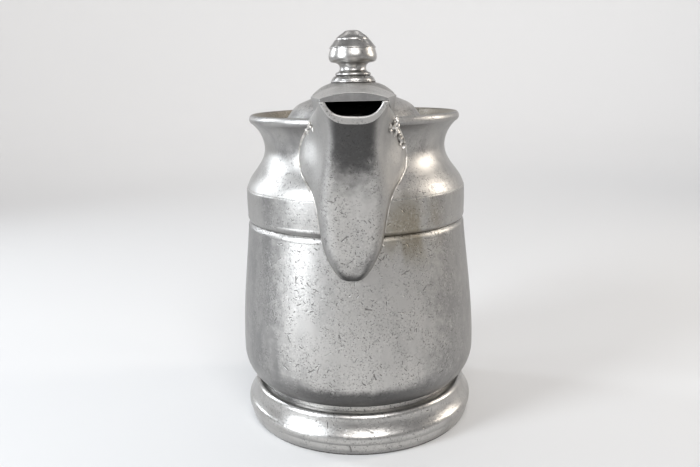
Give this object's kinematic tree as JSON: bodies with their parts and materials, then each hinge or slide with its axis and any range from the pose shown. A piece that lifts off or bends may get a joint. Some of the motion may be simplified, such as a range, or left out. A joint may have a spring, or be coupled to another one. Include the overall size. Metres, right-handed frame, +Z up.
{
  "type": "pitcher",
  "caption": "Small cast-metal pitcher: tapered drum on a ring foot, waisted neck, hooded pouring spout, rear scroll handle and a hinged domed lid with a turned finial.",
  "frame": {"origin": "centre of the foot's flat lower edge, on the axis of the turned body", "axes": "+Z up along the turned body's axis, -Y towards the spout, +Y towards the handle and hinge, +X to the right of the spout as it faces the viewer"},
  "size_m": [0.0956, 0.142, 0.1556],
  "materials": {
    "worn_pewter": "worn satin pewter with fine dents and scratches",
    "polished_pewter": "hand-polished pewter",
    "hinge_metal": "drawn white-metal pin, dull",
    "fixing_brass": "turned brass, tarnished"
  },
  "bodies": {
    "vessel": {"foot_ring": "polished_pewter", "drum": "worn_pewter", "drum_floor": "worn_pewter", "neck_collar": "worn_pewter", "spout": "worn_pewter", "handle": "polished_pewter", "handle_upper_pad": "worn_pewter", "handle_lower_pad": "worn_pewter", "hinge_bracket": "worn_pewter", "hinge_pin": "hinge_metal"},
    "lid": {"hinge_leaf": "worn_pewter", "lid_dome": "worn_pewter", "lid_bezel": "worn_pewter", "lid_crown": "worn_pewter", "finial_wafer": "polished_pewter", "finial": "polished_pewter", "finial_stud": "fixing_brass", "finial_washer": "fixing_brass", "finial_nut": "fixing_brass"}
  },
  "joints": [
    {"name": "lid_hinge", "type": "hinge", "parent": "vessel", "child": "lid", "pos_m": [0, 0.0466, 0.1273], "axis": [-1, 0, 0], "range_deg": [0, 105]}
  ]
}
